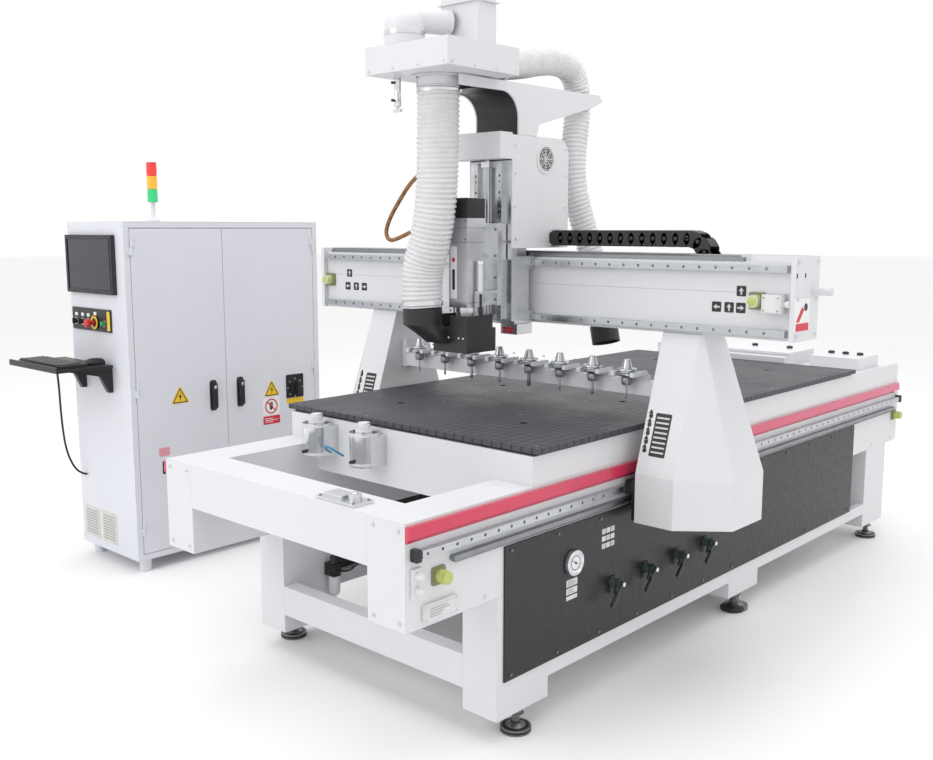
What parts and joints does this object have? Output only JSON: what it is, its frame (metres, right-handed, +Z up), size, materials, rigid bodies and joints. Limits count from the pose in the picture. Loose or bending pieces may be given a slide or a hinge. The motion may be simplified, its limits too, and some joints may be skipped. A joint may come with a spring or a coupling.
{
  "type": "cnc router",
  "caption": "Gantry milling router with a fixed vacuum bed, rack-driven moving gantry, spindle with dust shroud and hoses, tool rack and free-standing control cabinet",
  "frame": {"origin": "middle of the whole footprint, on the floor", "axes": "+X across the bed away from the cabinet, +Y from the loading end to the rear, +Z up"},
  "size_m": [3.472, 3.64, 2.48],
  "materials": {
    "white_paint": "semi-gloss white powder coat over steel",
    "white_sheet": "semi-gloss white paint over thin sheet",
    "cabinet_paint": "fine textured pale powder coat",
    "red_paint": "semi-gloss dark red paint",
    "black_paint": "satin black paint",
    "foot_steel": "zinc plated steel over a dark pad",
    "phenolic": "matt dark grooved phenolic board",
    "rail_steel": "ground hardened steel",
    "rack_steel": "oiled milled steel",
    "chrome": "bright chromium plate",
    "machined_aluminium": "machined and clear anodised",
    "black_plastic": "matt black moulded plastic",
    "fitting_plastic": "dark moulded fittings",
    "red_plastic": "glossy red plastic",
    "green_plastic": "glossy green plastic",
    "lever_red": "vinyl dipped steel lever",
    "lens_plastic": "translucent coloured lenses",
    "cable_rubber": "black cable sheath",
    "hose_plastic": "clear ribbed duct with a wire helix",
    "copper_hose": "braided brown line"
  },
  "bodies": {
    "frame": {"side_beams": "white_paint", "cross_members": "white_paint", "leg_posts": "white_paint", "levelling_feet": "foot_steel", "table_base": "white_paint", "vacuum_table": "phenolic", "rear_housings": "white_paint", "y_rails": "rail_steel", "y_racks": "rack_steel", "rail_covers": "red_paint", "side_panels": "black_paint", "side_fittings": "fitting_plastic", "positioning_cylinders": "chrome", "tool_setter": "machined_aluminium", "cabinet_shell": "cabinet_paint", "operator_panel": "black_plastic", "keyboard_shelf": "cabinet_paint", "service_lines": "cable_rubber", "stack_light": "lens_plastic"},
    "pins": {"positioning_pins": "chrome"},
    "door_front": {"cabinet_door_front": "cabinet_paint"},
    "door_rear": {"cabinet_door_rear": "cabinet_paint"},
    "handle_front": {"door_handle_front": "black_plastic"},
    "handle_rear": {"door_handle_rear": "black_plastic"},
    "main_switch": {"main_switch_knob": "black_plastic"},
    "e_stop": {"e_stop_button": "red_plastic"},
    "start": {"start_button": "green_plastic"},
    "lever_1": {"valve_lever_1": "lever_red"},
    "lever_2": {"valve_lever_2": "lever_red"},
    "lever_3": {"valve_lever_3": "lever_red"},
    "lever_4": {"valve_lever_4": "lever_red"},
    "gantry": {"gantry_beam": "white_paint", "gantry_end_covers": "white_paint", "x_rails": "rail_steel", "x_rack": "rack_steel", "cable_tray": "white_paint", "gantry_legs": "white_paint", "y_drive_units": "black_paint", "tool_rack": "white_paint", "tool_holders": "rail_steel", "x_energy_chain": "black_plastic"},
    "gantry_pinions": {"y_pinions": "rack_steel"},
    "carriage": {"carriage_plate": "machined_aluminium", "z_rails": "rail_steel", "column_housing": "white_paint", "carriage_motors": "black_paint", "head_arm": "white_paint", "arm_liner": "black_plastic", "dust_hood": "white_sheet", "rear_hose": "hose_plastic", "hose_cuff": "black_plastic", "front_hose": "hose_plastic"},
    "carriage_pinion": {"x_pinion": "rack_steel"},
    "fan": {"fan_rotor": "black_plastic"},
    "screw": {"z_screw": "rail_steel"},
    "z_head": {"z_slide": "machined_aluminium", "spindle": "machined_aluminium", "coolant_line": "copper_hose"},
    "collet": {"spindle_nose": "rail_steel"},
    "shroud": {"dust_shroud": "black_plastic"}
  },
  "joints": [
    {"name": "gantry_travel", "type": "slide", "parent": "frame", "child": "gantry", "axis": [0, 1, 0], "range_m": [-0.88, 2.05]},
    {"name": "carriage_travel", "type": "slide", "parent": "gantry", "child": "carriage", "axis": [1, 0, 0], "range_m": [-0.7, 0.64], "deforming": ["x_energy_chain"]},
    {"name": "z_feed", "type": "slide", "parent": "carriage", "child": "z_head", "axis": [0, 0, 1], "range_m": [-0.222, 0.08], "deforming": ["front_hose"]},
    {"name": "shroud_lift", "type": "slide", "parent": "z_head", "child": "shroud", "axis": [0, 0, 1], "range_m": [0, 0.065]},
    {"name": "spindle_spin", "type": "hinge", "parent": "z_head", "child": "collet", "pos_m": [0.524, -0.915, 1.2], "axis": [0, 0, 1], "continuous": true},
    {"name": "screw_turn", "type": "hinge", "parent": "carriage", "child": "screw", "pos_m": [0.524, -0.7985, 1.5], "axis": [0, 0, 1], "continuous": true},
    {"name": "gantry_pinion_turn", "type": "hinge", "parent": "gantry", "child": "gantry_pinions", "pos_m": [0.524, -0.55915, 0.6304], "axis": [1, 0, 0], "continuous": true},
    {"name": "carriage_pinion_turn", "type": "hinge", "parent": "carriage", "child": "carriage_pinion", "pos_m": [0.52412, -0.61, 1.5336], "axis": [0, 1, 0], "continuous": true},
    {"name": "fan_spin", "type": "hinge", "parent": "carriage", "child": "fan", "pos_m": [0.6085, -0.588, 1.858], "axis": [1, 0, 0], "continuous": true},
    {"name": "pin_drop", "type": "slide", "parent": "frame", "child": "pins", "axis": [0, 0, 1], "range_m": [-0.033, 0]},
    {"name": "door_front_swing", "type": "hinge", "parent": "frame", "child": "door_front", "pos_m": [-1.15, -1.3125, 0.85], "axis": [0, 0, -1], "range_deg": [0, 105]},
    {"name": "door_rear_swing", "type": "hinge", "parent": "frame", "child": "door_rear", "pos_m": [-1.15, -0.2825, 0.85], "axis": [0, 0, 1], "range_deg": [0, 105]},
    {"name": "handle_front_turn", "type": "hinge", "parent": "door_front", "child": "handle_front", "pos_m": [-1.1555, -0.908, 0.836], "axis": [1, 0, 0], "range_deg": [0, 90]},
    {"name": "handle_rear_turn", "type": "hinge", "parent": "door_rear", "child": "handle_rear", "pos_m": [-1.1555, -0.752, 0.836], "axis": [1, 0, 0], "range_deg": [-90, 0]},
    {"name": "main_switch_turn", "type": "hinge", "parent": "door_rear", "child": "main_switch", "pos_m": [-1.1555, -0.414, 0.78], "axis": [1, 0, 0], "range_deg": [0, 90]},
    {"name": "e_stop_press", "type": "slide", "parent": "frame", "child": "e_stop", "axis": [0, 1, 0], "range_m": [0, 0.004], "stiffness_N_per_m": 2000},
    {"name": "start_press", "type": "slide", "parent": "frame", "child": "start", "axis": [0, 1, 0], "range_m": [0, 0.003], "stiffness_N_per_m": 1500},
    {"name": "lever_1_turn", "type": "hinge", "parent": "frame", "child": "lever_1", "pos_m": [1.174, -0.828, 0.382], "axis": [1, 0, 0], "range_deg": [0, 90]},
    {"name": "lever_2_turn", "type": "hinge", "parent": "frame", "child": "lever_2", "pos_m": [1.174, -0.616, 0.382], "axis": [1, 0, 0], "range_deg": [0, 90]},
    {"name": "lever_3_turn", "type": "hinge", "parent": "frame", "child": "lever_3", "pos_m": [1.174, -0.404, 0.382], "axis": [1, 0, 0], "range_deg": [0, 90]},
    {"name": "lever_4_turn", "type": "hinge", "parent": "frame", "child": "lever_4", "pos_m": [1.174, -0.192, 0.382], "axis": [1, 0, 0], "range_deg": [0, 90]}
  ],
  "couplings": [
    {"joint": "screw_turn", "follows": "z_feed", "rad_per_m": -628.32},
    {"joint": "gantry_pinion_turn", "follows": "gantry_travel", "rad_per_m": 41.667},
    {"joint": "carriage_pinion_turn", "follows": "carriage_travel", "rad_per_m": 41.667}
  ]
}
